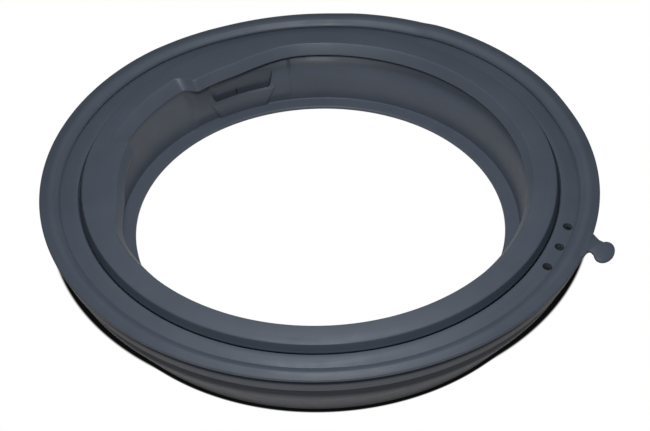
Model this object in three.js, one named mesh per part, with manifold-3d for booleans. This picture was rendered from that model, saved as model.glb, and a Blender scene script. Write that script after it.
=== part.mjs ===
// Door seal of a front-loading washing machine: one rubber moulding.
// Millimetres. The origin is the centre of the rear face, +Z points to the door,
// and +Y points to the top of the machine. Angles are in degrees from +X, in the XY plane.
import * as THREE from 'three';
import { mergeVertices } from 'three/addons/utils/BufferGeometryUtils.js';
import Module from 'manifold-3d';

// Rim, which covers the edge of the machine's front panel
const rimRadius = 200.5;
const rimHeight = 60.5;
const rimThickness = 2.6;
const rimCorner = 0.7;
const rimRound = 2;
const rimRoundDrop = 2;
const rollRadius = 193.5;
const rollRise = 1.1;

// Valley between the rim and the channel floor
const valleyRadius = 185.5;
const valleyDrop = 5;
const valleyKneeRun = 3.2;
const valleyKneeDrop = 0.5;
const valleySlopeRun = 9;

// Slot under the rim that the panel's edge sits in
const slotBottomRadius = 188.5;
const slotBottomRound = 1;
const slotWidth = 1.6;
const slotTaper = 0.2;
const slotMouthGap = 0.3;
const slotMouthDrop = 1.6;

// Lower jaw of the slot
const jawRadius = 197.4;
const jawHeight = 8.8;
const jawRound = 2.6;
const jawHeelRun = 1.4;
const jawHeelRise = 1.4;

// Outer leg, which folds in under the jaw and runs down to the collar
const creaseRadius = 188.6;
const creaseDrop = 20.5;
const foldRadius = 190.8;
const foldDrop = 26;
const foldTurnRun = 1.2;
const foldTurnDrop = 3;

// Collar that grips the mouth of the tub
const collarRadius = 171.2;
const collarThickness = 7.2;
const collarChamferRun = 2;
const collarChamferRise = 3;

// Channel floor between the rim and the lip, with its drain holes
const floorDrop = 3.8;
const drainCount = 3;
const drainRadius = 3.4;
const drainCircle = 181.4;
const drainPitch = 6.95;
const drainAngle = -88.9;

// Lip that seals against the door glass
const lipFootRadius = 171.3;
const lipHeight = 2.4;
const lipRise = 0.9;
const lipRadius = 149;
const lipDrop = 5.2;
const lipNoseRun = 4.6;
const lipThickness = 2.8;
const lipRootThickness = 3.6;
const lipFootLean = 0.4;
const lipFootRound = 1.2;
const lipCrestRun = 2;
const lipCrestDrop = 1;
const lipEdgeSize = 0.6;
const lipEdgeWidth = 1.5;
const lipBackRun = 2.2;
const lipRootBend = 1.4;
const lipSlitWidth = 1.3;
const lipSlitDepth = 3.4;
const lipSlitUndercut = 1.4;
const lipFlareRun = 0.5;
const lipFlareRise = 1.2;

// Two lobes of the lip, with a recess between them
const lobeReach = 9;
const recessRun = 3;
const lobes = [
  { start: 30, full: 55, hold: 65.4, end: 69.8 },
  { start: 98.6, full: 100, hold: 121, end: 142 },
];
const recess = { start: 65.4, full: 71, hold: 98.6, end: 100 };

// Inner leg, which runs from the lip's root down to the rear lip
const shoulderDrop = 7.6;
const shoulderRun = 4;
const shoulderPullDrop = 2.2;
const rootFootRise = 1;
const innerLegRadius = 146.5;
const innerLegDrop = 27;
const innerLegLean = 5.5;
const innerLegFootRun = 0.6;

// Shelf where the inner leg rises straight to the lip
const shelfGap = 0.9;
const shelfDepth = 5.4;
const shelfLean = 1.6;
const shelfBendDrop = 20;
const shelf = { start: 54, full: 68, hold: 108, end: 130 };

// Rear lip, which keeps the laundry out of the gap to the drum
const rearLipReach = 11.5;
const rearLipDrop = 45;
const rearLipThickness = 3;
const rearLipRound = 1;

// Raised pad on the inner leg, with the water inlet's pocket in it
const padRise = 0.9;
const pad = { start: 33.4, full: 34.6, hold: 65, end: 66.2 };
const pocketStart = 38.4;
const pocketEnd = 60.4;
const pocketTaper = 7;
const pocketRound = 4;
const pocketLead = 1.8;
const pocketWidth = 5;
const pocketWall = 1.7;
const pocketFloorDrop = 43;
const pocketRimDrop = 31;
const pocketBackDrop = 21;
const pocketMouthDrop = 20;
const pocketRoofDrop = 16;
const inletAngle = 50.4;
const inletDrop = 29;
const inletWidth = 1.6;
const inletHeight = 5;

// Pull tab at the bottom of the rim: an oval head on a broad neck, with a round notch below it.
// The notch's points are pairs of how far they are out from the rim and how far along it.
const tabAngle = -88;
const tabThickness = 2.4;
const tabLift = 0.2;
const tabHeadReach = 11.9;
const tabHeadShift = -0.4;
const tabHeadLength = 6.9;
const tabHeadWidth = 10.3;
const tabHeadStart = -150;
const tabHeadEnd = 118;
const tabNeckSide = 13.8;
const tabNotchFoot = -11;
const tabNotch = [[0, -10.4], [0.6, -7.4], [1.4, -4.4], [2.6, -3.2]];

// Wall of the folds, and the annular cavity's roof, which hangs below the channel floor
const wall = 2.8;
const roofGap = 1;
const roofRun = 1.5;
const roofRound = 4;
const roofEdgeDrop = 0.4;

// Steps that the round forms are drawn with
const gridStep = 5;
const closestSections = 0.5;
const legSteps = 6;
const holeSides = 20;
const pocketCornerSteps = 2;
const pocketFrontSteps = 5;
const tabCurveSteps = 14;
const booleanOverlap = 1;

const colour = 0x59626b;
const roughness = 0.5;

const wasm = await Module();
wasm.setup();

const radians = THREE.MathUtils.degToRad;
const mix = THREE.MathUtils.lerp;
const fade = THREE.MathUtils.smoothstep;

// A point of the section: its distance from the axis, and its height from the rim's plane
function at(radius, rise) {
  return new THREE.Vector2(radius, rimHeight + rise);
}

function arc(radius, rise, size, from, to, steps) {
  const centre = [radius, rimHeight + rise];
  return new THREE.EllipseCurve(...centre, size, size, radians(from), radians(to), from > to).getPoints(steps);
}

function bend(start, startPull, endPull, end, steps) {
  return new THREE.CubicBezierCurve(start, startPull, endPull, end).getPoints(steps);
}

// The same run of points, moved sideways by a distance: to the left of its direction if positive
function offset(points, distance) {
  return points.map((point, i) => {
    const before = points[Math.max(i - 1, 0)];
    const after = points[Math.min(i + 1, points.length - 1)];
    const along = after.clone().sub(before).normalize();
    return new THREE.Vector2(point.x - along.y * distance, point.y + along.x * distance);
  });
}

// How far a local feature is present at an angle: 0 outside it, 1 between full and hold
function share(feature, angle) {
  return fade(angle, feature.start, feature.full) - fade(angle, feature.hold, feature.end);
}

function slotDrop() {
  return rimThickness + slotWidth;
}

// Outer face of the outer leg, from the collar up to the jaw
function outerSkin() {
  return [
    new THREE.Vector2(collarRadius, collarChamferRise),
    at(foldRadius - foldTurnRun, -foldDrop - foldTurnDrop),
    at(foldRadius, -foldDrop),
    at(creaseRadius, -creaseDrop),
    at(jawRadius - jawHeelRun, -slotDrop() - jawHeight),
  ];
}

// Inner face of the inner leg, from the shoulder down to the crease above the rear lip
function innerFace(angle) {
  const shelfShare = share(shelf, angle);
  const rise = padRise * share(pad, angle);
  const foot = at(innerLegRadius - innerLegFootRun, -rearLipDrop);
  const upright = at(innerLegRadius, -innerLegDrop);
  const shoulder = at(lipFootRadius - lipRootThickness - shoulderRun, -shoulderDrop);
  const shoulderPull = at(innerLegRadius + innerLegLean, -shoulderDrop - shoulderPullDrop);
  const free = bend(foot, upright, shoulderPull, shoulder, legSteps);
  const shelfTop = at(lipRadius + shelfLean, -lipDrop - shelfGap);
  const shelfPull = at(innerLegRadius + shelfLean, -shelfBendDrop);
  const raised = bend(foot, upright, shelfPull, shelfTop, legSteps);
  const face = free.map((point, i) => point.clone().lerp(raised[i], shelfShare));
  for (const point of face.slice(1, 4)) point.x -= rise;
  return face.reverse();
}

function lobeShare(angle) {
  return lobes.reduce((sum, lobe) => sum + share(lobe, angle), 0);
}

function collarPoints() {
  return [
    new THREE.Vector2(collarRadius - collarThickness, 0),
    new THREE.Vector2(collarRadius - collarChamferRun, 0),
  ];
}

// Jaw, slot, rim, valley and channel floor, from the outside in to the slit at the lip's foot
function rimPoints() {
  const slitEdge = lipFootRadius + lipFlareRun;
  const slitRadius = slitEdge + lipSlitWidth;
  return [
    at(jawRadius, -slotDrop() - jawHeight + jawHeelRise),
    ...arc(jawRadius - jawRound, -slotDrop() - slotMouthDrop - jawRound, jawRound, 0, 90, 3),
    at(slotBottomRadius + slotBottomRound, -slotDrop()),
    at(slotBottomRadius, -rimThickness - slotWidth / 2),
    at(slotBottomRadius + slotBottomRound, -rimThickness - slotTaper),
    at(jawRadius + slotMouthGap, -rimThickness),
    at(rimRadius - rimCorner, -rimThickness),
    ...arc(rimRadius - rimRound, -rimRoundDrop, rimRound, 0, 75, 2),
    at(rollRadius, rollRise),
    at(valleyRadius + valleyKneeRun, -valleyKneeDrop),
    at(valleyRadius, -valleyDrop),
    at(valleyRadius - valleySlopeRun, -floorDrop),
    at(slitRadius, -floorDrop),
    at(slitRadius, -floorDrop - lipSlitDepth),
    at(slitEdge - lipSlitUndercut, -floorDrop - lipSlitDepth),
    at(slitEdge, -floorDrop),
  ];
}

// Lip: its wall and its top, its nose, and its underside back to where it leaves the inner leg
function lipPoints(angle) {
  const edge = lipRadius - lobeReach * lobeShare(angle);
  const crest = edge + lipNoseRun + recessRun * share(recess, angle);
  const shelfShare = share(shelf, angle);
  const flapShare = Math.max(1 - shelfShare, lobeShare(angle));
  const top = lipHeight + lipRise;
  const root = lipFootRadius - lipRootThickness;
  const rootRise = lipHeight - lipThickness;
  const gapEnd = lipRadius + shelfDepth;
  const freeUnder = [
    at(root - lipRootBend, rootRise),
    at(root, rootRise - lipRootBend),
    at(root, rootFootRise - shoulderDrop),
  ];
  const shelfUnder = [
    at(gapEnd - lipRootBend, -lipDrop),
    at(gapEnd, -lipDrop - shelfGap / 2),
    at(gapEnd - lipRootBend, -lipDrop - shelfGap),
  ];
  return [
    at(lipFootRadius, -floorDrop + lipFlareRise),
    at(lipFootRadius - lipFootLean, lipHeight - lipFootRound),
    at(lipFootRadius - lipFootLean - lipFootRound, lipHeight),
    at(crest, top),
    at(crest - lipCrestRun, top - lipCrestDrop),
    at(edge, -lipDrop + lipEdgeSize),
    at(edge + lipEdgeSize, -lipDrop),
    at(edge + lipEdgeWidth, -lipDrop),
    at(edge + lipBackRun, -lipDrop).lerp(at(crest, top - lipThickness - lipEdgeSize), flapShare),
    ...freeUnder.map((point, i) => point.lerp(shelfUnder[i], shelfShare)),
  ];
}

function rearLipPoints() {
  const edge = innerLegRadius - rearLipReach;
  return [
    at(edge + rearLipRound, -rearLipDrop),
    at(edge, -rearLipDrop - rearLipRound),
    at(edge, -rearLipDrop - rearLipThickness + rearLipRound),
    at(edge + rearLipRound, -rearLipDrop - rearLipThickness),
  ];
}

// Roof of the cavity between the legs, from the inner leg out to the jaw
function roofPoints() {
  const roofDrop = floorDrop + wall + roofGap;
  return [
    at(lipFootRadius + roofRun, -roofDrop - roofRound),
    at(lipFootRadius + roofRound, -roofDrop),
    at(valleyRadius, -roofDrop - roofEdgeDrop),
    at(jawRadius - wall, -slotDrop() - wall - roofEdgeDrop),
  ];
}

// The closed section of the moulding at an angle
function section(angle) {
  const outer = outerSkin();
  const face = innerFace(angle);
  const innerBack = offset(face, wall).reverse();
  innerBack[0].y = rimHeight - rearLipDrop - rearLipThickness;
  const outerBack = offset(outer, wall).reverse();
  return [
    ...collarPoints(), ...outer, ...rimPoints(), ...lipPoints(angle),
    ...face, ...rearLipPoints(), ...innerBack, ...roofPoints(), ...outerBack,
  ];
}

// Angles of the sections: an even grid, with closer ones where a feature starts and ends
function sectionAngles() {
  const angles = new Set();
  for (let angle = 0; angle < 360; angle += gridStep) angles.add(angle);
  for (const feature of [...lobes, recess, shelf, pad]) {
    for (const edge of [feature.start, feature.full, feature.hold, feature.end]) angles.add(edge);
  }
  const sorted = [...angles].sort((a, b) => a - b);
  const apart = sorted.filter((angle, i) => i === 0 || angle - sorted[i - 1] > closestSections);
  return [...apart, 360];
}

// The ring that all the sections make together
function ringGeometry() {
  const angles = sectionAngles();
  const first = section(0);
  const geometry = new THREE.LatheGeometry([...first, first[0]], angles.length - 1);
  const positions = geometry.attributes.position;
  const perSection = first.length + 1;
  angles.forEach((angle, i) => {
    const points = section(angle % 360);
    for (let j = 0; j < perSection; j += 1) {
      const point = points[j % points.length];
      const turn = radians(angle);
      positions.setXYZ(i * perSection + j, point.x * Math.cos(turn), point.x * Math.sin(turn), point.y);
    }
  });
  return geometry;
}

// A closed mesh as a solid, with its faces pointing out
function solid(geometry) {
  const bare = geometry.clone();
  bare.deleteAttribute('normal');
  bare.deleteAttribute('uv');
  const merged = mergeVertices(bare.index ? bare : mergeVertices(bare), 1e-3);
  const vertProperties = merged.attributes.position.array;
  const triVerts = Uint32Array.from(merged.index.array);
  let volume = 0;
  const corner = (k) => new THREE.Vector3().fromArray(vertProperties, 3 * triVerts[k]);
  for (let k = 0; k < triVerts.length; k += 3) {
    volume += corner(k).dot(corner(k + 1).cross(corner(k + 2)));
  }
  if (volume < 0) triVerts.reverse();
  return new wasm.Manifold(new wasm.Mesh({ numProp: 3, vertProperties, triVerts }));
}

// Radii of the pocket's two inner faces
function pocketFront() {
  return innerLegRadius - pocketLead + pocketWall;
}

function pocketBack() {
  return pocketFront() + pocketWidth;
}

// A block on the inner leg. Seen from above, its front has rounded corners. It narrows downwards,
// and its top rises from the front to the back.
function pocketGeometry(front, back, round, inset, drops) {
  const half = front * radians((pocketEnd - pocketStart) / 2) - inset;
  const corner = (x, from) => {
    const curve = new THREE.EllipseCurve(x, front + round, round, round, from, from + Math.PI / 2);
    return curve.getPoints(pocketCornerSteps);
  };
  const points = [new THREE.Vector2(-half, back), ...corner(round - half, Math.PI)];
  for (let i = 1; i < pocketFrontSteps; i += 1) {
    points.push(new THREE.Vector2(mix(round - half, half - round, i / pocketFrontSteps), front));
  }
  points.push(...corner(half - round, 1.5 * Math.PI), new THREE.Vector2(half, back));
  const geometry = new THREE.ExtrudeGeometry(new THREE.Shape(points), { depth: 1, bevelEnabled: false });
  const positions = geometry.attributes.position;
  for (let i = 0; i < positions.count; i += 1) {
    const radius = positions.getY(i);
    const height = positions.getZ(i);
    const narrowing = 1 - (1 - height) * pocketTaper / half;
    const turn = radians((pocketStart + pocketEnd) / 2) + positions.getX(i) * narrowing / front;
    const topDrop = mix(drops.front, drops.back, (radius - front) / (back - front));
    const z = rimHeight - mix(drops.bottom, topDrop, height);
    positions.setXYZ(i, radius * Math.cos(turn), radius * Math.sin(turn), z);
  }
  return geometry;
}

function pocketBlock() {
  const drops = {
    bottom: rearLipDrop + rearLipThickness / 2,
    front: pocketRimDrop,
    back: pocketBackDrop,
  };
  return pocketGeometry(pocketFront() - pocketWall, pocketBack() + pocketWall, pocketRound, 0, drops);
}

function pocketHollow() {
  const drops = { bottom: pocketFloorDrop, front: pocketMouthDrop, back: pocketRoofDrop };
  return pocketGeometry(pocketFront(), pocketBack(), pocketRound - pocketWall, pocketWall, drops);
}

function inletSlot() {
  const geometry = new THREE.BoxGeometry(4 * wall, inletWidth, inletHeight);
  geometry.translate(pocketBack() + wall, 0, rimHeight - inletDrop);
  return geometry.rotateZ(radians(inletAngle));
}

function drainHole(index) {
  const depth = 4 * wall;
  const geometry = new THREE.CylinderGeometry(drainRadius, drainRadius, depth, holeSides);
  geometry.rotateX(Math.PI / 2);
  geometry.translate(drainCircle, 0, rimHeight - floorDrop - wall / 2);
  return geometry.rotateZ(radians(drainAngle + (index - (drainCount - 1) / 2) * drainPitch));
}

function pullTab() {
  const root = rimRadius - rimRound - booleanOverlap;
  const outline = new THREE.Shape();
  outline.moveTo(root, tabNotchFoot);
  for (const [run, across] of tabNotch) outline.lineTo(rimRadius + run, across);
  outline.absellipse(rimRadius + tabHeadReach, tabHeadShift, tabHeadLength, tabHeadWidth,
    radians(tabHeadStart), radians(tabHeadEnd), false);
  outline.lineTo(rimRadius, tabNeckSide);
  outline.lineTo(root, tabNeckSide);
  const geometry = new THREE.ExtrudeGeometry(outline, {
    depth: tabThickness,
    bevelEnabled: false,
    curveSegments: tabCurveSteps,
  });
  geometry.translate(0, 0, rimHeight - rimThickness + tabLift);
  return geometry.rotateZ(radians(tabAngle));
}

function doorSeal() {
  let body = solid(ringGeometry()).add(solid(pocketBlock())).subtract(solid(pocketHollow()));
  body = body.subtract(solid(inletSlot()));
  for (let i = 0; i < drainCount; i += 1) body = body.subtract(solid(drainHole(i)));
  const mesh = body.add(solid(pullTab())).getMesh();
  const geometry = new THREE.BufferGeometry();
  geometry.setAttribute('position', new THREE.BufferAttribute(mesh.vertProperties, 3));
  geometry.setIndex(new THREE.BufferAttribute(mesh.triVerts, 1));
  geometry.computeVertexNormals();
  return geometry;
}

const rubber = new THREE.MeshStandardMaterial({ color: colour, roughness, metalness: 0 });
const seal = new THREE.Mesh(doorSeal(), rubber);
seal.name = 'door_seal';

const group = new THREE.Group();
group.add(seal);

export default group;
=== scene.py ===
"""Door seal of a front-loading washing machine: one rubber moulding, lying on a table.

The seal is a closed section that goes round the axis. The section changes where the lip
has its lobes and its recess, where the inner leg has its shelf, and at the inlet pocket's pad.
Lengths are in millimetres and angles in degrees. Blender gets metres.
"""

import math

import bmesh
import bpy
import numpy as np
from mathutils import Matrix, Vector

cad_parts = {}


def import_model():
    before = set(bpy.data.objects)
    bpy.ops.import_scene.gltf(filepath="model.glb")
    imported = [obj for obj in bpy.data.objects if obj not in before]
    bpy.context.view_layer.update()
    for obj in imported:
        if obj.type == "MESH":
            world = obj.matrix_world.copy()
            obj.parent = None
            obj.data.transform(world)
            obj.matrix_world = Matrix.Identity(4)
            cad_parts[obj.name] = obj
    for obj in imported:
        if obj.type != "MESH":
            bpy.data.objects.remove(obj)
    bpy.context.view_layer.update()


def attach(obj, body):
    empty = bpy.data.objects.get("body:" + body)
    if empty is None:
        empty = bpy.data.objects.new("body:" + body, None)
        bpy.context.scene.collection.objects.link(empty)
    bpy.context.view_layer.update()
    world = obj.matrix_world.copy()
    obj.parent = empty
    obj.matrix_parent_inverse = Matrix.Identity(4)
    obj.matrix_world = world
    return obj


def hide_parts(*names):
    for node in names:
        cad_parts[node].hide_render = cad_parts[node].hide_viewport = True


MM = 0.001

# Rim, which covers the edge of the machine's front panel
RIM_RADIUS = 200.5
RIM_HEIGHT = 60.5
RIM_THICKNESS = 2.6
RIM_EDGE_DROP = 0.7
RIM_TUCK = 0.2
ROLL_RADIUS = 193.5
ROLL_RISE = 1.2

# Steep inner slope of the rim: a brow where it starts, and a knee above the groove
BROW_RUN = 3.5
BROW_RISE = 0.4
KNEE_RADIUS = 187.0
KNEE_DROP = 1.8

# Valley between the slope and the channel floor, and the groove that undercuts the slope
VALLEY_RADIUS = 185.5
VALLEY_DROP = 5.0
VALLEY_SLOPE = 9.0
GROOVE_DEPTH = 2.0
GROOVE_HEIGHT = 1.35
GROOVE_TAPER = 0.2
GROOVE_SINK = 0.5
GROOVE_RUN_OUT = 0.6

# Slot under the rim, and its lower jaw
SLOT_BOTTOM = 188.5
SLOT_WIDTH = 1.6
SLOT_MOUTH = 1.2
SLOT_FLAT = 2.5
SLOT_TAPER = 0.2
JAW_RADIUS = 198.4
JAW_HEIGHT = 9.4
JAW_LEAN = 2.0

# Outer leg and collar
CREASE_RADIUS = 187.2
CREASE_DROP = 18.6
FOLD_RADIUS = 190.8
FOLD_DROP = 26.0
FOLD_TURN_RUN = 1.2
FOLD_TURN_DROP = 3.0
COLLAR_INSIDE = 164.0
COLLAR_RADIUS = 171.2
COLLAR_FOOT = 169.2
COLLAR_FOOT_RISE = 3.0

# Channel floor and its drain holes
FLOOR_DROP = 3.8
DRAIN_COUNT = 3
DRAIN_RADIUS = 3.4
DRAIN_CIRCLE = 181.4
DRAIN_PITCH = 6.95
DRAIN_ANGLE = -88.9
DRAIN_SIDES = 48

# Lip that seals against the door glass
LIP_FOOT = 171.3
LIP_HEIGHT = 2.4
LIP_RISE = 0.9
LIP_WALL_LEAN = 1.3
LIP_RADIUS = 149.0
LIP_DROP = 5.2
LIP_NOSE_RUN = 4.6
LIP_THICKNESS = 2.8
LIP_CREST_THICKENING = 0.6
LIP_ROOT = 3.6
LIP_ROOT_RISE = 1.0
LIP_EDGE_HEIGHT = 1.0
LIP_EDGE_WIDTH = 1.5
LIP_EDGE_STEP = 0.7

# Flare at the lip's foot, and the undercut slit beside it
FLARE_RUN = 0.5
FLARE_RISE = 1.2
FLARE_FOOT_RISE = 0.1
SLIT_WIDTH = 1.3
SLIT_DEPTH = 3.4
SLIT_UNDERCUT = 2.2
SLIT_UNDERCUT_HEIGHT = 1.4
SLIT_EDGE = 0.7

# Two lobes of the lip, with a recess between them. The four angles of a feature are where it
# starts, is full, begins to fade and ends.
LOBE_REACH = 9.0
RECESS_RUN = 3.0
LOBES = ((30.0, 55.0, 65.4, 69.8), (98.6, 100.0, 121.0, 142.0))
RECESS = (65.4, 68.0, 98.6, 100.0)

# Inner leg, which leans out to a shoulder under the lip
INNER_LEG = 146.5
INNER_LEG_LEAN = 5.5
LEG_FOOT_LEAN = 0.6
LEG_FOOT_RISE = 1.2
LEG_UPRIGHT_DROP = 27.0
SHOULDER_DROP = 7.6
SHOULDER_RUN = 4.0
SHOULDER_PULL_DROP = 2.2

# Shelf, where the inner leg rises straight to the lip
SHELF_GAP = 0.9
SHELF_DEPTH = 5.4
SHELF_STEP = 0.1
SHELF_SETBACK = 1.6
SHELF_PULL_DROP = 20.0
SHELF = (54.0, 68.0, 108.0, 130.0)

# Rear lip
REAR_LIP_REACH = 11.5
REAR_LIP_DROP = 45.0
REAR_LIP_THICKNESS = 3.0
REAR_LIP_ROOT = 0.8

# Cavity between the outer leg and the inner leg
WALL = 2.8
CAVITY_ROOF_THICKENING = 1.0
CAVITY_CORNER_RUN = 1.5
CAVITY_BEVEL_RUN = 4.0
CAVITY_BEVEL_DROP = 4.0
CAVITY_STEP = 0.4
CAVITY_JAW_LEAN = 1.8
CAVITY_BEND_RISE = 1.4

# Pad on the inner leg, and the water inlet's pocket in it
PAD_RISE = 0.9
PAD = (33.4, 34.6, 65.0, 66.2)
PAD_FOOT_STEPS = 2
PAD_TOP_STEPS = 4
POCKET_START = 38.4
POCKET_END = 60.4
POCKET_TAPER = 7.0
POCKET_ROUND = 4.5
POCKET_LEAD = 1.8
POCKET_WIDTH = 5.0
POCKET_WALL = 1.7
POCKET_CORNER_STEPS = 6
POCKET_EDGE_PIECES = 30
POCKET_EDGE = 0.5
POCKET_FLOOR_DROP = 43.0
POCKET_RIM_DROP = 31.0
POCKET_BACK_DROP = 21.0
POCKET_MOUTH_DROP = 20.0
POCKET_ROOF_DROP = 16.0
INLET_ANGLE = 50.4
INLET_DROP = 29.0
INLET_WIDTH = 1.6
INLET_HEIGHT = 5.0

# Pull tab at the bottom of the rim: an oval head on a broad neck, with a round notch below it
TAB_ANGLE = -88.0
TAB_THICKNESS = 2.4
TAB_EDGE = 0.6
TAB_LIFT = 0.2
TAB_HEAD = (11.8, -0.4, 6.9, 10.3)
TAB_HEAD_TURN = (-150.0, 118.0)
TAB_HEAD_SIDES = 48
TAB_NOTCH = ((-3.2, -11.5), (0, -10.4), (0.5, -7.6), (1.1, -5.2), (1.9, -3.7), (3.1, -3.3))
TAB_NECK = ((5.4, 9.5), (3.0, 11.3), (0, 13.8), (-3.2, 14.5))

# How the soft ring lies out of true round its outside, and how its brim stands off the jaw:
# pairs of an angle and a rise. Each fades in between two radii, and the lift between two drops.
LIFT = ((0, 0.5), (16, -0.6), (26, -1.7), (41, -1.8), (51, -1.2), (61, -0.2), (76, 0.8), (100, 0.4),
        (146, 0), (206, 0), (260, 0), (290, -0.4), (312, -0.2), (322, 1.2), (333, 2.0), (349, 2.0))
LIFT_RANGE = 2.5
LIFT_RADII = (174.0, 190.0)
LIFT_DROPS = (30.0, 12.0)
BRIM = ((0, 0), (120, 0), (160, 0.6), (190, 1.3), (220, 1.3), (250, 0.6), (285, 0))
BRIM_RANGE = 1.5
BRIM_RADII = (188.0, 197.0)
BRIM_MARGIN = 0.3

# How finely the moulding is made: more columns between the close angles, and fewer elsewhere.
# A soft edge has a middle ring at a share of its size, and no rounding takes up a whole side.
CLOSE_COLUMNS = 315
WIDE_COLUMNS = 158
CLOSE_START, CLOSE_END = 30.0, 145.0
ARC_STEPS = 4
LEG_STEPS = 14
EDGE_MIDDLE = 0.3
ROUNDING_LIMIT = 0.48
SHARP_ANGLE = 38.0
WELD = 0.001

# Rubber: its colour and gloss, each between two stops of its noise, and the scales of its gloss
# patches, of the fine streaks that run round the ring, and of its grain
RUBBER_DARK = (0.096, 0.119, 0.157)
RUBBER_LIGHT = (0.110, 0.134, 0.175)
COLOUR_STOPS = (0.3, 0.7)
COLOUR_SCALE = 22.0
GLOSS_SMOOTH, GLOSS_ROUGH = 0.36, 0.53
GLOSS_STOPS = (0.35, 0.65)
NOISE_DETAIL, NOISE_ROUGHNESS = 4.0, 0.55
PATCH_SCALE = 60.0
STREAK_SCALE = 700.0
STREAK_DETAIL, STREAK_ROUGHNESS = 3.0, 0.5
STREAK_SLOWNESS = 0.02
GRAIN_SCALE = 1500.0
GRAIN_DETAIL = 2.0
GRAIN_STRENGTH = 0.25
GRAIN_DEPTH = 0.2

# Table: the pale board, which lights the seal from below by real bounce and by a faint glow that is
# painted light
TABLE_REACH = 6000.0
BOARD = (0.85, 0.77, 0.70, 1)
GLOW = (1.0, 0.93, 0.86, 1)
GLOW_STRENGTH = 0.09

# The photograph's camera
IMAGE_WIDTH, IMAGE_HEIGHT = 650, 431
AIM_X, AIM_Y = 319, 176
CAMERA_AZIMUTH, CAMERA_ELEVATION, CAMERA_ROLL = -64, 41, 1.6
CAMERA_DISTANCE = 1400.0
CAMERA_LENS = 108

# Lamps: the azimuth from the camera's, the elevation, the distance, the size, and the power in watts
LAMPS = {
    "key": (-4, 54, 860.0, 150.0, 2.2),
    "overhead": (-8, 94, 600.0, 200.0, 1.0),
}
SKY = (0.85, 0.92, 1.0, 1)
SKY_STRENGTH = 0.06

# Painted shadow on the table, drawn into its colour where the rim's shadow would fall: a round
# patch beside the axis, away from the camera, and a narrow one round the collar's foot
SHADOW_AZIMUTH = CAMERA_AZIMUTH
SHADOW_SHIFT = 38.0
SHADOW_RADIUS = 202.2
SHADOW_SOFT = 2.0
SHADOW_LEVEL = 0.004
CONTACT_SHADOW = 1.2
HOLE_SOFT = 1.0

# Worked out from the sizes above
SLOT_DROP = RIM_THICKNESS + SLOT_WIDTH
LIP_ROOT_RADIUS = LIP_FOOT - LIP_ROOT
POCKET_FRONT = INNER_LEG - POCKET_LEAD


def corner(radius, rise, size=0.0, steps=ARC_STEPS):
    """A corner of the section: its place, and the size of its rounding."""
    return (radius, RIM_HEIGHT + rise, size, steps)


def rounded(corners):
    """The closed line through the corners, each rounded to its size."""
    points = []
    for i, (x, z, size, steps) in enumerate(corners):
        here = Vector((x, z))
        if size == 0:
            points.append(here)
            continue
        back = Vector(corners[i - 1][:2]) - here
        ahead = Vector(corners[(i + 1) % len(corners)][:2]) - here
        half = back.angle(ahead, math.pi) / 2
        shorter = min(back.length, ahead.length)
        cut = min(size / max(math.tan(half), 1e-3), shorter * ROUNDING_LIMIT)
        start, end = here + back.normalized() * cut, here + ahead.normalized() * cut
        for k in range(steps + 1):
            t = k / steps
            weight = math.sin(half)
            a, b, c = (1 - t) ** 2, 2 * t * (1 - t) * weight, t * t
            points.append((start * a + here * b + end * c) / (a + b + c))
    return points


def bezier(p0, p1, p2, p3, steps):
    """Points of a cubic curve, both ends included."""
    points = []
    for k in range(steps + 1):
        t = k / steps
        u = 1 - t
        points.append(p0 * u ** 3 + p1 * (3 * u * u * t) + p2 * (3 * u * t * t) + p3 * t ** 3)
    return points


def at(radius, rise):
    """A point of the section, with its height from the rim's."""
    return Vector((radius, RIM_HEIGHT + rise))


def inner_face(shelf, pad):
    """Inner face of the inner leg, from the top down."""
    foot = at(INNER_LEG - LEG_FOOT_LEAN, -REAR_LIP_DROP + LEG_FOOT_RISE)
    upright = at(INNER_LEG, -LEG_UPRIGHT_DROP)
    pull = at(INNER_LEG + INNER_LEG_LEAN, -SHOULDER_DROP - SHOULDER_PULL_DROP)
    shoulder = at(LIP_ROOT_RADIUS - SHOULDER_RUN, -SHOULDER_DROP)
    free = bezier(foot, upright, pull, shoulder, LEG_STEPS)
    shelf_pull = at(INNER_LEG + SHELF_SETBACK, -SHELF_PULL_DROP)
    top = at(LIP_RADIUS + SHELF_SETBACK, -LIP_DROP - SHELF_GAP)
    raised = bezier(foot, upright, shelf_pull, top, LEG_STEPS)
    face = [a.lerp(b, shelf) for a, b in zip(free, raised)]
    for i, point in enumerate(face):
        edge = min(i / PAD_FOOT_STEPS, (LEG_STEPS - i) / PAD_TOP_STEPS, 1)
        point.x -= PAD_RISE * pad * edge
    return face[::-1]


def back_of(line, distance):
    """The same line moved sideways by a wall's thickness, in the other direction."""
    moved = []
    for i, point in enumerate(line):
        along = (line[min(i + 1, len(line) - 1)] - line[max(i - 1, 0)]).normalized()
        moved.append(point + Vector((-along.y, along.x)) * distance)
    return moved[::-1]


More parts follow.
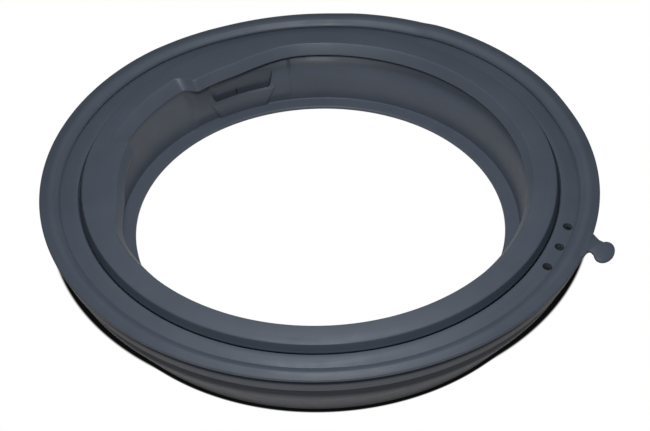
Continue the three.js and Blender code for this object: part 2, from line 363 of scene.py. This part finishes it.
def outer_side():
    """Corners from the collar's foot up the outer leg, over the rim and down to the valley."""
    groove = VALLEY_RADIUS + GROOVE_DEPTH
    groove_top = -VALLEY_DROP + GROOVE_HEIGHT
    return [
        corner(COLLAR_INSIDE, -RIM_HEIGHT, 0.5, 2),
        corner(COLLAR_FOOT, -RIM_HEIGHT, 0.6, 2),
        corner(COLLAR_RADIUS, COLLAR_FOOT_RISE - RIM_HEIGHT, 0.8, 3),
        corner(FOLD_RADIUS - FOLD_TURN_RUN, -FOLD_DROP - FOLD_TURN_DROP, 4),
        corner(FOLD_RADIUS, -FOLD_DROP, 2.5),
        corner(CREASE_RADIUS, -CREASE_DROP, 1.4),
        corner(JAW_RADIUS - JAW_LEAN, -SLOT_DROP - JAW_HEIGHT, 2.6, 5),
        corner(JAW_RADIUS, -SLOT_DROP - SLOT_MOUTH, 2.8, 7),
        corner(SLOT_BOTTOM + SLOT_FLAT, -SLOT_DROP, 2, 3),
        corner(SLOT_BOTTOM, -SLOT_DROP, 0.7, 2),
        corner(SLOT_BOTTOM, -RIM_THICKNESS - SLOT_TAPER, 0.7, 2),
        corner(RIM_RADIUS - RIM_TUCK, -RIM_THICKNESS, 0.5, 3),
        corner(RIM_RADIUS, -RIM_EDGE_DROP, 2.6, 8),
        corner(ROLL_RADIUS, ROLL_RISE, 9, 6),
        corner(KNEE_RADIUS + BROW_RUN, BROW_RISE, 4, 4),
        corner(KNEE_RADIUS, -KNEE_DROP, 3, 5),
        corner(VALLEY_RADIUS, groove_top, 0.4, 2),
        corner(groove, groove_top - GROOVE_TAPER, 0.3, 1),
        corner(groove, -VALLEY_DROP - GROOVE_SINK, 0.3, 1),
        corner(VALLEY_RADIUS - GROOVE_RUN_OUT, -VALLEY_DROP, 0.8, 2),
        corner(VALLEY_RADIUS - VALLEY_SLOPE, -FLOOR_DROP, 14, 4),
    ]


def slit():
    """Corners of the slit at the lip's foot, up to the flare."""
    flare = LIP_FOOT + FLARE_RUN
    slit_drop = FLOOR_DROP + SLIT_DEPTH
    return [
        corner(flare + SLIT_WIDTH, -FLOOR_DROP, 0.5, 3),
        corner(flare + SLIT_WIDTH, -slit_drop, 0.5, 2),
        corner(flare - SLIT_UNDERCUT, -slit_drop, 0.8, 2),
        corner(flare - SLIT_UNDERCUT, -slit_drop + SLIT_UNDERCUT_HEIGHT, 0.5, 2),
        corner(flare, -FLOOR_DROP - SLIT_EDGE, 0.3, 2),
        corner(flare, -FLOOR_DROP + FLARE_FOOT_RISE, 0.3, 2),
        corner(LIP_FOOT, -FLOOR_DROP + FLARE_RISE, 1.2, 4),
    ]


def lip(lobe, recess, shelf):
    """Corners of the lip, from its outer wall over the crest to its root under it."""
    edge = LIP_RADIUS - LOBE_REACH * lobe
    under_edge = edge + LIP_EDGE_WIDTH
    crest = edge + LIP_NOSE_RUN + RECESS_RUN * recess
    top = LIP_HEIGHT + LIP_RISE
    flap = max(1 - shelf, lobe)
    gap = LIP_RADIUS + SHELF_DEPTH

    def mixed(free, shelved, share, size):
        point = Vector(free).lerp(Vector(shelved), share)
        return corner(point.x, point.y, size, 3)

    nose_back = (crest, top - LIP_THICKNESS - LIP_CREST_THICKENING)
    root = (LIP_ROOT_RADIUS, LIP_HEIGHT - LIP_THICKNESS)
    root_foot = (LIP_ROOT_RADIUS, -SHOULDER_DROP + LIP_ROOT_RISE)
    return [
        corner(LIP_FOOT - LIP_WALL_LEAN, LIP_HEIGHT, 1.3, 5),
        corner(crest, top, 1.2, 5),
        corner(edge, -LIP_DROP + LIP_EDGE_HEIGHT, 0.6, 3),
        corner(edge, -LIP_DROP, 0.5, 2),
        corner(under_edge, -LIP_DROP, 0.4, 1),
        mixed((under_edge + LIP_EDGE_STEP, -LIP_DROP), nose_back, flap, 1.2),
        mixed(root, (gap, -LIP_DROP - SHELF_STEP), shelf, 1.0),
        mixed(root_foot, (gap, -LIP_DROP - SHELF_GAP), shelf, 0.8),
    ]


def rear_lip():
    """Corners of the rear lip, from the inner leg to its underside."""
    edge = INNER_LEG - REAR_LIP_REACH
    return [
        corner(INNER_LEG - REAR_LIP_ROOT, -REAR_LIP_DROP, 1.0),
        corner(edge, -REAR_LIP_DROP, 1.2),
        corner(edge, -REAR_LIP_DROP - REAR_LIP_THICKNESS, 1.2, 3),
    ]


def cavity():
    """Corners inside the moulding, from the inner leg's back to the collar's inside."""
    roof_drop = FLOOR_DROP + WALL + CAVITY_ROOF_THICKENING
    jaw = JAW_RADIUS - WALL
    collar_bend = COLLAR_FOOT_RISE + CAVITY_BEND_RISE - RIM_HEIGHT
    return [
        corner(LIP_FOOT + CAVITY_CORNER_RUN, -roof_drop - CAVITY_BEVEL_DROP),
        corner(LIP_FOOT + CAVITY_BEVEL_RUN, -roof_drop),
        corner(VALLEY_RADIUS, -roof_drop - CAVITY_STEP),
        corner(jaw, -SLOT_DROP - WALL - CAVITY_STEP),
        corner(jaw - CAVITY_JAW_LEAN, -SLOT_DROP - JAW_HEIGHT + CAVITY_BEND_RISE),
        corner(CREASE_RADIUS - WALL, -CREASE_DROP + CAVITY_STEP),
        corner(FOLD_RADIUS - WALL, -FOLD_DROP - CAVITY_STEP),
        corner(COLLAR_RADIUS - WALL + CAVITY_STEP, collar_bend),
    ]


def section(lobe=0, recess=0, shelf=0, pad=0):
    """The closed section of the moulding where each feature is present by the given share."""
    face = inner_face(shelf, pad)
    inner_back = back_of(face, WALL)
    inner_back[0].y = RIM_HEIGHT - REAR_LIP_DROP - REAR_LIP_THICKNESS
    face_corners = [(p.x, p.y, 0, 1) for p in face]
    back_corners = [(p.x, p.y, 0, 1) for p in inner_back]
    upper = outer_side() + slit() + lip(lobe, recess, shelf)
    return rounded(upper + face_corners + rear_lip() + back_corners + cavity())


def faded(values, low, high):
    """0 below the low value, 1 above the high one, and a smooth rise between them."""
    t = np.clip((values - low) / (high - low), 0, 1)
    return t * t * (3 - 2 * t)


def section_mesh():
    """The plain section as a mesh in the XZ plane, with how far each feature moves each point."""
    plain = np.array(section())
    lobe, recess = np.array(section(lobe=1)), np.array(section(recess=1))
    shelf, pad = np.array(section(shelf=1)), np.array(section(pad=1))
    both = np.array(section(lobe=1, shelf=1))
    radii, heights = plain[:, 0], plain[:, 1]
    outside = faded(radii, *LIFT_RADII) * faded(heights, *(RIM_HEIGHT - drop for drop in LIFT_DROPS))
    on_brim = faded(radii, *BRIM_RADII) * (heights > RIM_HEIGHT - RIM_THICKNESS - BRIM_MARGIN)
    shifts = {
        "lobe": lobe - plain,
        "recess": recess - plain,
        "shelf": shelf - plain,
        "pad": pad - plain,
        "lobe_over_shelf": both - lobe - shelf + plain,
        "lift": np.column_stack((0 * outside, outside)),
        "brim": np.column_stack((0 * on_brim, on_brim)),
    }
    count = len(plain)
    mesh = bpy.data.meshes.new("seal_section")
    points = [(x * MM, 0, z * MM) for x, z in plain]
    mesh.from_pydata(points, [(i, (i + 1) % count) for i in range(count)], [])
    for name, shift in shifts.items():
        attribute = mesh.attributes.new(name, "FLOAT_VECTOR", "POINT")
        values = [(x * MM, 0, z * MM) for x, z in shift]
        attribute.data.foreach_set("vector", np.array(values, np.float32).ravel())
    return mesh


class Nodes:
    """A node tree that is written from left to right."""

    def __init__(self, tree):
        self.tree = tree

    def wire(self, node, wires):
        """Sets a node's inputs: a socket is linked, and anything else is a plain value."""
        for key, value in wires.items():
            if isinstance(value, bpy.types.NodeSocket):
                self.tree.links.new(value, node.inputs[key])
            else:
                node.inputs[key].default_value = value
        return node

    def node(self, kind, wires=None, **settings):
        """A new node with its settings and its inputs."""
        node = self.tree.nodes.new(kind)
        for key, value in settings.items():
            setattr(node, key, value)
        return self.wire(node, wires or {})

    def math(self, operation, a, b=0.0):
        return self.node("ShaderNodeMath", {0: a, 1: b}, operation=operation).outputs[0]

    def vector_math(self, operation, a, b):
        return self.node("ShaderNodeVectorMath", {0: a, 1: b}, operation=operation).outputs[0]

    def scaled(self, vector, share):
        node = self.node("ShaderNodeVectorMath", {0: vector, "Scale": share}, operation="SCALE")
        return node.outputs[0]

    def apart(self, a, b):
        """How far two places are apart."""
        node = self.node("ShaderNodeVectorMath", {0: a, 1: b}, operation="DISTANCE")
        return node.outputs["Value"]

    def noise(self, place, scale, detail=NOISE_DETAIL, roughness=NOISE_ROUGHNESS):
        wires = {"Vector": place, "Scale": scale, "Detail": detail, "Roughness": roughness}
        return self.node("ShaderNodeTexNoise", wires).outputs["Fac"]

    def ramp(self, value, stops, colours):
        """A colour ramp between two stops."""
        node = self.node("ShaderNodeValToRGB", {"Fac": value})
        for element, position, colour in zip(node.color_ramp.elements, stops, colours):
            element.position = position
            element.color = (*colour, 1)
        return node.outputs["Color"]

    def mixed(self, share, first, second):
        """One shader where the share is 0, and another where it is 1."""
        return self.node("ShaderNodeMixShader", {0: share, 1: first, 2: second}).outputs[0]


class Tree(Nodes):
    """A Geometry Nodes tree with named inputs."""

    def __init__(self, name):
        super().__init__(bpy.data.node_groups.new(name, "GeometryNodeTree"))
        self.identifiers = {}
        self.inputs = self.tree.nodes.new("NodeGroupInput")
        self.outputs = self.tree.nodes.new("NodeGroupOutput")

    def input(self, name, kind):
        socket = self.tree.interface.new_socket(name, in_out="INPUT", socket_type=kind)
        self.identifiers[name] = socket.identifier
        return self.inputs.outputs[name]

    def output(self, source):
        self.tree.interface.new_socket("Geometry", in_out="OUTPUT", socket_type="NodeSocketGeometry")
        self.tree.links.new(source, self.outputs.inputs["Geometry"])


def share_of(tree, name, angle):
    """How far a feature is present at an angle: 0 outside it, 1 between full and hold."""
    ramps = []
    for first, last in (("start", "full"), ("hold", "end")):
        low = tree.input(f"{name} {first}", "NodeSocketFloat")
        high = tree.input(f"{name} {last}", "NodeSocketFloat")
        wires = {"Value": angle, "From Min": low, "From Max": high}
        ramps.append(tree.node("ShaderNodeMapRange", wires, interpolation_type="SMOOTHSTEP").outputs[0])
    return tree.math("SUBTRACT", *ramps)


def rise_at(tree, name, angle, pairs, reach):
    """A rise in millimetres that follows a closed curve round the ring, times a named amount."""
    turn = tree.math("DIVIDE", tree.math("FLOORED_MODULO", angle, 360.0), 360.0)
    node = tree.node("ShaderNodeFloatCurve", {"Value": turn})
    curve = node.mapping.curves[0]
    knots = [(a / 360, 0.5 + rise / reach / 2) for a, rise in pairs]
    knots.append((1.0, knots[0][1]))
    while len(curve.points) < len(knots):
        curve.points.new(0.5, 0.5)
    for point, knot in zip(curve.points, knots):
        point.location = knot
    node.mapping.update()
    amount = tree.input(f"{name} amount", "NodeSocketFloat")
    return tree.math("MULTIPLY", tree.math("SUBTRACT", node.outputs[0], 0.5), amount)


def sampled(tree, outline, row, attribute):
    """The place, or a feature's shift, of the section's point in a row."""
    if attribute == "position":
        value = tree.node("GeometryNodeInputPosition").outputs[0]
    else:
        named = tree.node("GeometryNodeInputNamedAttribute", {"Name": attribute}, data_type="FLOAT_VECTOR")
        value = named.outputs["Attribute"]
    wires = {"Geometry": outline, "Value": value, "Index": row}
    node = tree.node("GeometryNodeSampleIndex", wires, data_type="FLOAT_VECTOR", domain="POINT")
    return node.outputs[0]


def ring_tree():
    """Sections side by side round the axis, each shaped for its angle."""
    tree = Tree("Seal ring")
    outline = tree.input("Section", "NodeSocketGeometry")
    close = tree.input("Close columns", "NodeSocketInt")
    wide = tree.input("Wide columns", "NodeSocketInt")
    columns = tree.math("ADD", close, wide)
    material = tree.input("Rubber", "NodeSocketMaterial")
    count = tree.node("GeometryNodeAttributeDomainSize", {"Geometry": outline}).outputs["Point Count"]
    rows = tree.math("ADD", count, 1)
    grid = tree.node("GeometryNodeMeshGrid", {
        "Size X": 1.0, "Size Y": 1.0, "Vertices X": tree.math("ADD", columns, 1), "Vertices Y": rows,
    })
    index = tree.node("GeometryNodeInputIndex").outputs[0]
    column = tree.math("FLOOR", tree.math("DIVIDE", tree.math("ADD", index, 0.5), rows))
    row = tree.math("SUBTRACT", index, tree.math("MULTIPLY", column, rows))
    row = tree.math("MODULO", row, count)
    start = tree.input("Close start", "NodeSocketFloat")
    end = tree.input("Close end", "NodeSocketFloat")
    first = tree.node("ShaderNodeMapRange", {
        "Value": column, "From Max": close, "To Min": start, "To Max": end,
    }).outputs[0]
    second = tree.node("ShaderNodeMapRange", {
        "Value": column, "From Min": close, "From Max": columns,
        "To Max": tree.math("SUBTRACT", tree.math("ADD", start, 360.0), end),
    }).outputs[0]
    angle = tree.math("ADD", first, second)
    lobe = tree.math("ADD", share_of(tree, "Lobe 1", angle), share_of(tree, "Lobe 2", angle))
    shelf = share_of(tree, "Shelf", angle)
    shares = {
        "lobe": lobe,
        "recess": share_of(tree, "Recess", angle),
        "shelf": shelf,
        "pad": share_of(tree, "Pad", angle),
        "lobe_over_shelf": tree.math("MULTIPLY", lobe, shelf),
        "lift": rise_at(tree, "Lift", angle, LIFT, LIFT_RANGE),
        "brim": rise_at(tree, "Brim", angle, BRIM, BRIM_RANGE),
    }
    place = sampled(tree, outline, row, "position")
    for name, share in shares.items():
        place = tree.vector_math("ADD", place, tree.scaled(sampled(tree, outline, row, name), share))
    turned = tree.node("ShaderNodeVectorRotate", {
        "Vector": place, "Axis": (0, 0, 1), "Angle": tree.math("RADIANS", angle),
    }).outputs[0]
    moved = tree.node("GeometryNodeSetPosition", {"Geometry": grid.outputs["Mesh"], "Position": turned})
    weld = {"Geometry": moved.outputs[0], "Distance": WELD * MM}
    closed = tree.node("GeometryNodeMergeByDistance", weld)
    real = tree.node("GeometryNodeRealizeInstances", {"Geometry": closed.outputs[0]})
    dressed = tree.node("GeometryNodeSetMaterial", {"Geometry": real.outputs[0], "Material": material})
    tree.output(dressed.outputs[0])
    return tree


def placed(name, data):
    """A new object in the scene, at the origin."""
    made = bpy.data.objects.new(name, data)
    bpy.context.scene.collection.objects.link(made)
    return made


def grown(name, mesh, tree, values):
    """The tree's result on a mesh, as a plain mesh object."""
    source = placed(name + "_source", mesh)
    modifier = source.modifiers.new("Tree", "NODES")
    modifier.node_group = tree.tree
    for key, value in values.items():
        modifier[tree.identifiers[key]] = value
    evaluated = source.evaluated_get(bpy.context.evaluated_depsgraph_get())
    result = bpy.data.meshes.new_from_object(evaluated)
    source.modifiers.remove(modifier)
    bpy.data.objects.remove(source)
    return placed(name, result)


def facing_out(mesh):
    """Turns the faces outwards."""
    shell = bmesh.new()
    shell.from_mesh(mesh)
    bmesh.ops.recalc_face_normals(shell, faces=shell.faces)
    if shell.calc_volume(signed=True) < 0:
        bmesh.ops.reverse_faces(shell, faces=shell.faces)
    shell.to_mesh(mesh)
    shell.free()


def lofted(name, rings, caps=None):
    """A closed block through rings with the same number of points, and caps on the end rings."""
    count = len(rings[0])
    points = [p for ring in rings for p in ring]
    caps = caps or [tuple(range(count))]
    faces = [tuple(i + first for i in cap) for cap in caps for first in (0, len(points) - count)]
    for i in range(len(rings) - 1):
        for j in range(count):
            k = (j + 1) % count
            faces.append((i * count + j, i * count + k, (i + 1) * count + k, (i + 1) * count + j))
    mesh = bpy.data.meshes.new(name)
    mesh.from_pydata([Vector(p) * MM for p in points], [], faces)
    facing_out(mesh)
    return placed(name, mesh)


def turned_by(angle, x, y, height):
    """A point that is turned by an angle round the axis."""
    turn = math.radians(angle)
    return (x * math.cos(turn) - y * math.sin(turn), x * math.sin(turn) + y * math.cos(turn), height)


def around(radius, height, angle):
    """A point at a radius and an angle round the axis."""
    return turned_by(angle, radius, 0, height)


def plan_ring(front, back, half, size, drop_at):
    """The pocket's plan as a ring of points: rounded corners in front, and heights by radius."""
    outline = rounded([
        (-half, back, 0, 1), (-half, front, size, POCKET_CORNER_STEPS),
        (half, front, size, POCKET_CORNER_STEPS), (half, back, 0, 1),
    ])
    points = []
    for i, point in enumerate(outline):
        after = outline[(i + 1) % len(outline)]
        pieces = POCKET_EDGE_PIECES if abs(after.x - point.x) > half else 1
        points += [point.lerp(after, k / pieces) for k in range(pieces)]
    middle = (POCKET_START + POCKET_END) / 2
    return [around(p.y, RIM_HEIGHT - drop_at(p.y), middle + math.degrees(p.x / POCKET_FRONT))
            for p in points]


def plan_caps():
    """Faces over a plan ring: a fan at each front corner, and a strip from the front to the back."""
    pieces = POCKET_EDGE_PIECES
    left = POCKET_CORNER_STEPS + 1
    right = left + pieces
    back = right + left
    strip = []
    for k in range(pieces):
        far = (back + pieces - k) if k else 0
        strip.append((left + k, left + k + 1, back + pieces - k - 1, far))
    return [tuple(range(left + 1)), tuple(range(right, back + 1))] + strip


def pocket_half(inset, share):
    """Half the pocket's width at a share of its height."""
    half_angle = math.radians((POCKET_END - POCKET_START) / 2)
    return POCKET_FRONT * half_angle - inset - POCKET_TAPER * (1 - share)


def slope(front, back, front_drop, back_drop):
    """A drop that changes evenly from a front radius to a back radius."""
    return lambda radius: front_drop + (back_drop - front_drop) * (radius - front) / (back - front)


def level(drop):
    """The same drop at every radius."""
    return lambda radius: drop


def pocket_block():
    """The pocket's walls as a full block, with a soft edge round its mouth."""
    back = POCKET_FRONT + 2 * POCKET_WALL + POCKET_WIDTH
    low = level(REAR_LIP_DROP + REAR_LIP_THICKNESS / 2)
    rings = [plan_ring(POCKET_FRONT, back, pocket_half(0, 0), POCKET_ROUND, low)]
    middle = EDGE_MIDDLE * POCKET_EDGE
    for inset, below in ((0, POCKET_EDGE), (middle, middle), (POCKET_EDGE, 0)):
        top = slope(POCKET_FRONT, back, POCKET_RIM_DROP + below, POCKET_BACK_DROP + below)
        rings.append(plan_ring(POCKET_FRONT + inset, back, pocket_half(inset, 1), POCKET_ROUND, top))
    return lofted("pocket_block", rings, plan_caps())


def pocket_hollow():
    """The room inside the pocket, up to its mouth."""
    front = POCKET_FRONT + POCKET_WALL
    back = front + POCKET_WIDTH
    size = POCKET_ROUND - POCKET_WALL
    top = slope(front, back, POCKET_MOUTH_DROP, POCKET_ROOF_DROP)
    return lofted("pocket_hollow", [
        plan_ring(front, back, pocket_half(POCKET_WALL, 0), size, level(POCKET_FLOOR_DROP)),
        plan_ring(front, back, pocket_half(POCKET_WALL, 1), size, top),
    ], plan_caps())


def inlet_slit():
    """The three-cornered slit through the pocket's back wall, narrow at the top."""
    middle = POCKET_FRONT + POCKET_WALL + POCKET_WIDTH + WALL
    low = RIM_HEIGHT - INLET_DROP - INLET_HEIGHT / 2
    high = RIM_HEIGHT - INLET_DROP + INLET_HEIGHT / 2
    rings = []
    for radius in (middle - 2 * WALL, middle + 2 * WALL):
        half = math.degrees(INLET_WIDTH / 2 / radius)
        rings.append([
            around(radius, low, INLET_ANGLE - half),
            around(radius, low, INLET_ANGLE + half),
            around(radius, high, INLET_ANGLE),
        ])
    return lofted("inlet_slit", rings)


def drain_bore(index):
    """One of the holes through the channel floor."""
    angle = DRAIN_ANGLE + (index - (DRAIN_COUNT - 1) / 2) * DRAIN_PITCH
    x, y, _ = around(DRAIN_CIRCLE, 0, angle)
    low, high = RIM_HEIGHT - FLOOR_DROP - 2 * WALL, RIM_HEIGHT
    turns = [math.tau * k / DRAIN_SIDES for k in range(DRAIN_SIDES)]
    circle = [(x + DRAIN_RADIUS * math.cos(a), y + DRAIN_RADIUS * math.sin(a)) for a in turns]
    return lofted("drain_bore", [[(*point, height) for point in circle] for height in (low, high)])


def tab_outline():
    """The tab's plan: its notch, its oval head and its neck."""
    reach, shift, length, width = TAB_HEAD
    start, end = TAB_HEAD_TURN
    head = []
    for k in range(TAB_HEAD_SIDES + 1):
        a = math.radians(start + (end - start) * k / TAB_HEAD_SIDES)
        head.append((reach + length * math.cos(a), shift + width * math.sin(a)))
    return [Vector(p) for p in (*TAB_NOTCH, *head, *TAB_NECK)]


def pull_tab():
    """The tab, with a soft edge above and below."""
    points = tab_outline()
    low = RIM_HEIGHT - RIM_THICKNESS + TAB_LIFT
    middle = EDGE_MIDDLE * TAB_EDGE
    below = [(0, TAB_EDGE), (middle, middle), (TAB_EDGE, 0)]
    above = [(TAB_THICKNESS - height, inset) for height, inset in reversed(below)]
    rings = []
    for height, inset in below + above:
        ring = []
        for i, point in enumerate(points):
            along = (points[(i + 1) % len(points)] - points[i - 1]).normalized()
            moved = point + Vector((-along.y, along.x)) * inset
            ring.append(turned_by(TAB_ANGLE, RIM_RADIUS + moved.x, moved.y, low + height))
        rings.append(ring)
    return lofted("pull_tab", rings)


def combine(piece, block, operation):
    """Adds a block to a piece, or cuts it away."""
    modifier = piece.modifiers.new("Combine", "BOOLEAN")
    modifier.operation = operation
    modifier.object = block
    modifier.solver = "MANIFOLD"
    evaluated = piece.evaluated_get(bpy.context.evaluated_depsgraph_get())
    mesh = bpy.data.meshes.new_from_object(evaluated)
    piece.modifiers.remove(modifier)
    piece.data = mesh
    bpy.data.objects.remove(block)


def door_seal(rubber):
    """The whole moulding as one closed mesh."""
    values = {
        "Close columns": CLOSE_COLUMNS,
        "Wide columns": WIDE_COLUMNS,
        "Close start": CLOSE_START,
        "Close end": CLOSE_END,
        "Rubber": rubber,
        "Lift amount": 2 * LIFT_RANGE,
        "Brim amount": 2 * BRIM_RANGE,
    }
    features = {"Lobe 1": LOBES[0], "Lobe 2": LOBES[1], "Recess": RECESS, "Shelf": SHELF, "Pad": PAD}
    for name, angles in features.items():
        for key, value in zip(("start", "full", "hold", "end"), angles):
            values[f"{name} {key}"] = value
    seal = grown("seal_moulding", section_mesh(), ring_tree(), values)
    facing_out(seal.data)
    combine(seal, pocket_block(), "UNION")
    combine(seal, pocket_hollow(), "DIFFERENCE")
    combine(seal, inlet_slit(), "DIFFERENCE")
    for index in range(DRAIN_COUNT):
        combine(seal, drain_bore(index), "DIFFERENCE")
    combine(seal, pull_tab(), "UNION")
    seal.data.materials.clear()
    seal.data.materials.append(rubber)
    for polygon in seal.data.polygons:
        polygon.use_smooth = True
        polygon.material_index = 0
    seal.data.set_sharp_from_angle(angle=math.radians(SHARP_ANGLE))
    return seal


def along_the_ring(tree, place):
    """Coordinates that hardly change round the ring and change fast across it."""
    parts = tree.node("ShaderNodeSeparateXYZ", {0: place}).outputs
    flat = tree.node("ShaderNodeCombineXYZ", {"X": parts["X"], "Y": parts["Y"]}).outputs[0]
    wires = {
        "X": tree.math("MULTIPLY", parts["X"], STREAK_SLOWNESS),
        "Y": tree.math("MULTIPLY", parts["Y"], STREAK_SLOWNESS),
        "Z": tree.math("ADD", tree.apart(flat, (0, 0, 0)), parts["Z"]),
    }
    return tree.node("ShaderNodeCombineXYZ", wires).outputs[0]


def rubber_material():
    """Satin blue-grey rubber: a slow change of colour, gloss in patches and streaks, a fine grain."""
    material = bpy.data.materials.new("moulded_rubber")
    material.use_nodes = True
    tree = Nodes(material.node_tree)
    place = tree.node("ShaderNodeTexCoord").outputs["Object"]
    colour = tree.ramp(tree.noise(place, COLOUR_SCALE), COLOUR_STOPS, (RUBBER_DARK, RUBBER_LIGHT))
    patches = tree.noise(place, PATCH_SCALE)
    flow = along_the_ring(tree, place)
    streaks = tree.noise(flow, STREAK_SCALE, STREAK_DETAIL, STREAK_ROUGHNESS)
    blend = tree.math("MULTIPLY", tree.math("ADD", patches, streaks), 0.5)
    gloss = tree.ramp(blend, GLOSS_STOPS, ((GLOSS_SMOOTH,) * 3, (GLOSS_ROUGH,) * 3))
    grain = tree.node("ShaderNodeBump", {
        "Strength": GRAIN_STRENGTH, "Distance": GRAIN_DEPTH * MM,
        "Height": tree.noise(place, GRAIN_SCALE, GRAIN_DETAIL),
    })
    shader = tree.tree.nodes["Principled BSDF"]
    tree.wire(shader, {"Base Color": colour, "Roughness": gloss, "Normal": grain.outputs["Normal"]})
    return material


def circle_edge(tree, place, centre, radius, soft):
    """0 within a circle on the table, 1 outside it, and a soft edge between them."""
    wires = {
        "Value": tree.apart(place, centre * MM),
        "From Min": (radius - soft / 2) * MM,
        "From Max": (radius + soft / 2) * MM,
    }
    return tree.node("ShaderNodeMapRange", wires, interpolation_type="SMOOTHSTEP").outputs["Result"]


def floor_material():
    """White to the camera but for a painted shadow under the ring, and a warm pale board, which also glows
    faintly as painted bounce light, to all other rays.
    """
    material = bpy.data.materials.new("table")
    material.use_nodes = True
    tree = Nodes(material.node_tree)
    tree.tree.nodes.clear()
    place = tree.node("ShaderNodeTexCoord").outputs["Object"]
    axis = Vector((0, 0, 0))
    # Painted shadow: the camera sees the table dark inside a circle shifted away from the camera, and in a
    # ring round the collar's foot
    away = direction(SHADOW_AZIMUTH, 0) * -SHADOW_SHIFT
    past_rim = circle_edge(tree, place, away, SHADOW_RADIUS, SHADOW_SOFT)
    past_foot = circle_edge(tree, place, axis, COLLAR_RADIUS + CONTACT_SHADOW, CONTACT_SHADOW)
    hole = tree.math("SUBTRACT", 1.0, circle_edge(tree, place, axis, COLLAR_INSIDE, HOLE_SOFT))
    outside_painted_shadow = tree.math("MAXIMUM", tree.math("MULTIPLY", past_rim, past_foot), hole)
    floor_with_painted_shadow = tree.node("ShaderNodeEmission", {"Color": tree.math("MAXIMUM", outside_painted_shadow, SHADOW_LEVEL)})
    board = tree.node("ShaderNodeBsdfDiffuse", {"Color": BOARD})
    # Painted light: the board glows faintly for all but camera rays, standing in for light bounced up onto
    # the seal
    glow = tree.node("ShaderNodeEmission", {"Color": GLOW, "Strength": GLOW_STRENGTH})
    glowing_board = tree.node("ShaderNodeAddShader", {0: board.outputs[0], 1: glow.outputs[0]})
    camera_ray = tree.node("ShaderNodeLightPath").outputs["Is Camera Ray"]
    surface = tree.mixed(camera_ray, glowing_board.outputs[0], floor_with_painted_shadow.outputs[0])
    tree.node("ShaderNodeOutputMaterial", {"Surface": surface})
    return material


def floor():
    """The table top, which isn't part of the object."""
    mesh = bpy.data.meshes.new("table_top")
    reach = TABLE_REACH * MM
    corners = [(-reach, -reach, 0), (reach, -reach, 0), (reach, reach, 0), (-reach, reach, 0)]
    mesh.from_pydata(corners, [], [(0, 1, 2, 3)])
    table = placed("table_top", mesh)
    mesh.materials.append(floor_material())


def direction(azimuth, elevation):
    """Away from the object, towards a camera or lamp at that azimuth from -Y and that elevation."""
    a, e = math.radians(azimuth - 90), math.radians(elevation)
    return Vector((math.cos(a) * math.cos(e), math.sin(a) * math.cos(e), math.sin(e)))


def camera():
    """The photograph's camera, aimed at the middle of the rim and rolled a little."""
    back = direction(CAMERA_AZIMUTH, CAMERA_ELEVATION)
    right = Vector((0, 0, 1)).cross(back).normalized()
    up = back.cross(right)
    turn = math.radians(CAMERA_ROLL)
    x = right * math.cos(turn) - up * math.sin(turn)
    y = right * math.sin(turn) + up * math.cos(turn)
    data = bpy.data.cameras.new("camera")
    data.lens = CAMERA_LENS
    data.shift_x = (IMAGE_WIDTH / 2 - AIM_X) / IMAGE_WIDTH
    data.shift_y = (AIM_Y - IMAGE_HEIGHT / 2) / IMAGE_WIDTH
    made = placed("camera", data)
    place = Vector((0, 0, RIM_HEIGHT)) + back * CAMERA_DISTANCE
    made.matrix_world = Matrix.Translation(place * MM) @ Matrix((x, y, back)).transposed().to_4x4()
    bpy.context.scene.camera = made


def lamp(name, turn, elevation, distance, size, power):
    """A round lamp that faces the seal, at an azimuth from the camera's."""
    data = bpy.data.lights.new(name, "AREA")
    data.shape = "DISK"
    data.size = size * MM
    data.energy = power
    made = placed(name, data)
    away = direction(CAMERA_AZIMUTH + turn, elevation)
    made.location = away * distance * MM
    made.rotation_euler = away.to_track_quat("Z", "Y").to_euler()


def world():
    """A weak cool sky, and a pale backdrop to the camera."""
    made = bpy.data.worlds.new("studio")
    made.use_nodes = True
    tree = Nodes(made.node_tree)
    sky = tree.wire(tree.tree.nodes["Background"], {"Color": SKY, "Strength": SKY_STRENGTH})
    backdrop = tree.node("ShaderNodeBackground")
    camera_ray = tree.node("ShaderNodeLightPath").outputs["Is Camera Ray"]
    surface = tree.mixed(camera_ray, sky.outputs[0], backdrop.outputs[0])
    tree.wire(tree.tree.nodes["World Output"], {"Surface": surface})
    bpy.context.scene.world = made


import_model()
camera()
world()
for lamp_name, settings in LAMPS.items():
    lamp(lamp_name, *settings)
floor()
seal = door_seal(rubber_material())
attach(seal, "root")
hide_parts("door_seal")
bpy.context.scene.view_settings.view_transform = "Standard"
